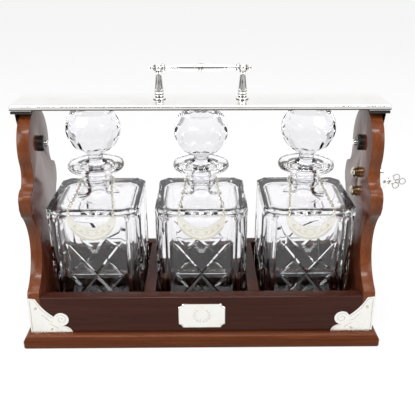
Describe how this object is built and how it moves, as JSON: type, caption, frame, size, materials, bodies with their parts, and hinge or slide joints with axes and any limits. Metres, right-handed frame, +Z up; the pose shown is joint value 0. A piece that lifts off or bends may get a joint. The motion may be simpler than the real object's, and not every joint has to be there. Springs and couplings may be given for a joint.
{
  "type": "tantalus",
  "caption": "Mahogany tray holding square glass decanters with ball stoppers under a swinging, lockable silver-plated bar with a handle.",
  "frame": {"origin": "centre of the plinth's underside, on the resting surface", "axes": "+X to the right towards the lock and key, -Y to the front with the plaque, +Z up"},
  "size_m": [0.4223, 0.158, 0.2946],
  "materials": {
    "mahogany": "French polished",
    "tray_lining": "dark stained",
    "silver_plate": "polished silver plate",
    "engraved_silver": "polished and engraved",
    "black_metal": "black lacquer",
    "brass": "bright",
    "steel": "oiled",
    "pad_leather": "matt black",
    "cut_glass": "clear, cut and polished"
  },
  "bodies": {
    "case": {"plinth": "mahogany", "tray_floor": "tray_lining", "front_rail": "mahogany", "back_rail": "mahogany", "left_divider": "mahogany", "right_divider": "mahogany", "left_end_panel": "mahogany", "right_end_panel": "mahogany", "left_corner_bracket": "engraved_silver", "right_corner_bracket": "engraved_silver", "bracket_pins": "silver_plate", "plaque": "engraved_silver", "plinth_screws": "steel", "pivot_bolts": "silver_plate", "pivot_washers": "brass", "pivot_nuts": "black_metal", "lock_case": "silver_plate", "lock_nose": "silver_plate", "lock_studs": "steel", "lock_collars": "brass", "lock_cap_nuts": "silver_plate"},
    "bar": {"top_bar": "silver_plate", "left_arm": "silver_plate", "right_arm": "silver_plate", "left_bar_pad": "pad_leather", "right_bar_pad": "pad_leather", "arm_screws": "steel", "left_handle_post": "silver_plate", "right_handle_post": "silver_plate", "handle_grip": "silver_plate", "left_finial": "silver_plate", "right_finial": "silver_plate", "post_nuts": "brass"},
    "lock_plug": {"lock_plug": "brass"},
    "lock_bolt": {"lock_bolt": "steel"},
    "key": {"key": "silver_plate"},
    "left_decanter": {"left_decanter": "cut_glass", "left_chain": "silver_plate"},
    "left_stopper": {"left_stopper": "cut_glass"},
    "left_label": {"left_label": "engraved_silver", "left_label_rings": "silver_plate"},
    "middle_decanter": {"middle_decanter": "cut_glass", "middle_chain": "silver_plate"},
    "middle_stopper": {"middle_stopper": "cut_glass"},
    "middle_label": {"middle_label": "engraved_silver", "middle_label_rings": "silver_plate"},
    "right_decanter": {"right_decanter": "cut_glass", "right_chain": "silver_plate"},
    "right_stopper": {"right_stopper": "cut_glass"},
    "right_label": {"right_label": "engraved_silver", "right_label_rings": "silver_plate"}
  },
  "joints": [
    {"name": "bar_swing", "type": "hinge", "parent": "case", "child": "bar", "pos_m": [0, 0, 0.21], "axis": [-1, 0, 0], "range_deg": [0, 92]},
    {"name": "key_turn", "type": "hinge", "parent": "case", "child": "lock_plug", "pos_m": [0.2, 0, 0.165], "axis": [1, 0, 0], "range_deg": [0, 90]},
    {"name": "lock_bolt_slide", "type": "slide", "parent": "case", "child": "lock_bolt", "axis": [0, 0, 1], "range_m": [0, 0.0064]},
    {"name": "key_withdraw", "type": "slide", "parent": "lock_plug", "child": "key", "axis": [1, 0, 0], "range_m": [0, 0.03]},
    {"name": "left_decanter_lift", "type": "slide", "parent": "case", "child": "left_decanter", "axis": [0, 0, 1], "range_m": [0, 0.005]},
    {"name": "left_stopper_turn", "type": "hinge", "parent": "left_decanter", "child": "left_stopper", "pos_m": [-0.1145, 0, 0.2], "axis": [0, 0, 1], "continuous": true},
    {"name": "left_label_swing", "type": "hinge", "parent": "left_decanter", "child": "left_label", "pos_m": [-0.1145, -0.0516, 0.1478], "axis": [-1, 0, 0], "range_deg": [-3, 80]},
    {"name": "middle_decanter_lift", "type": "slide", "parent": "case", "child": "middle_decanter", "axis": [0, 0, 1], "range_m": [0, 0.005]},
    {"name": "middle_stopper_turn", "type": "hinge", "parent": "middle_decanter", "child": "middle_stopper", "pos_m": [0, 0, 0.2], "axis": [0, 0, 1], "continuous": true},
    {"name": "middle_label_swing", "type": "hinge", "parent": "middle_decanter", "child": "middle_label", "pos_m": [0, -0.0516, 0.1478], "axis": [-1, 0, 0], "range_deg": [-3, 80]},
    {"name": "right_decanter_lift", "type": "slide", "parent": "case", "child": "right_decanter", "axis": [0, 0, 1], "range_m": [0, 0.005]},
    {"name": "right_stopper_turn", "type": "hinge", "parent": "right_decanter", "child": "right_stopper", "pos_m": [0.1145, 0, 0.2], "axis": [0, 0, 1], "continuous": true},
    {"name": "right_label_swing", "type": "hinge", "parent": "right_decanter", "child": "right_label", "pos_m": [0.1145, -0.0516, 0.1478], "axis": [-1, 0, 0], "range_deg": [-3, 80]}
  ],
  "couplings": [
    {"joint": "lock_bolt_slide", "follows": "key_turn", "m_per_rad": 0.0038197}
  ]
}
